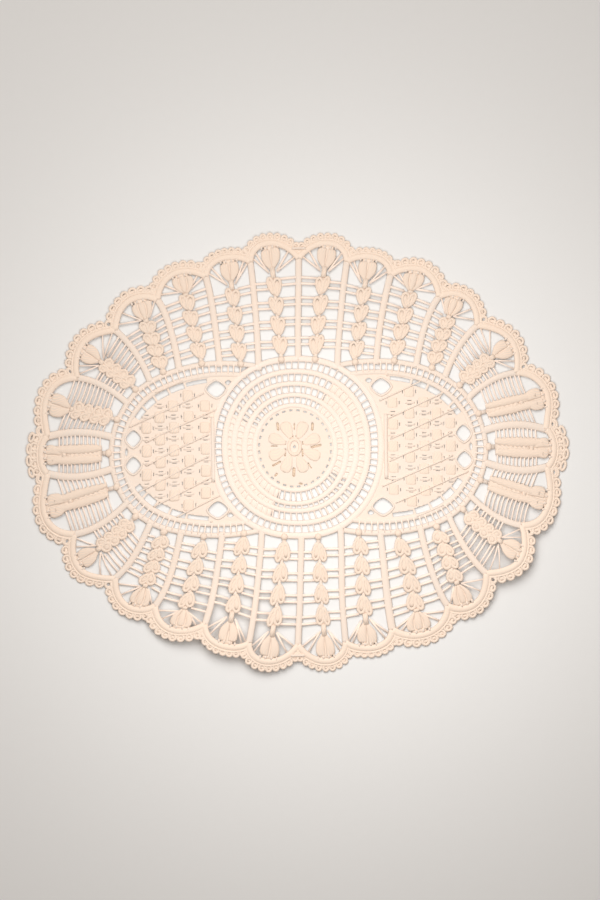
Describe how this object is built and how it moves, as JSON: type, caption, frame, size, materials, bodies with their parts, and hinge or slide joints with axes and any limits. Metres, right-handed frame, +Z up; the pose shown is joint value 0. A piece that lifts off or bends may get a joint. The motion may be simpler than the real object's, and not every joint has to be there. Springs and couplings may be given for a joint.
{
  "type": "lace doily",
  "caption": "Flat oval lace doily with a scalloped eyelet edge, wheat-ear fingers, an eye-shaped corded frame and a round rosette, laid on a surface.",
  "frame": {"origin": "middle of the oval, on the surface that the doily lies on", "axes": "+X along the long axis of the oval, +Y along its short axis, +Z up out of the surface"},
  "size_m": [0.3964, 0.3197, 0.0109],
  "materials": {
    "ecru_cotton_lace": "matt ecru cotton thread, closely wound on the cords"
  },
  "bodies": {
    "root": {"lace_doily": "ecru_cotton_lace"}
  },
  "joints": []
}
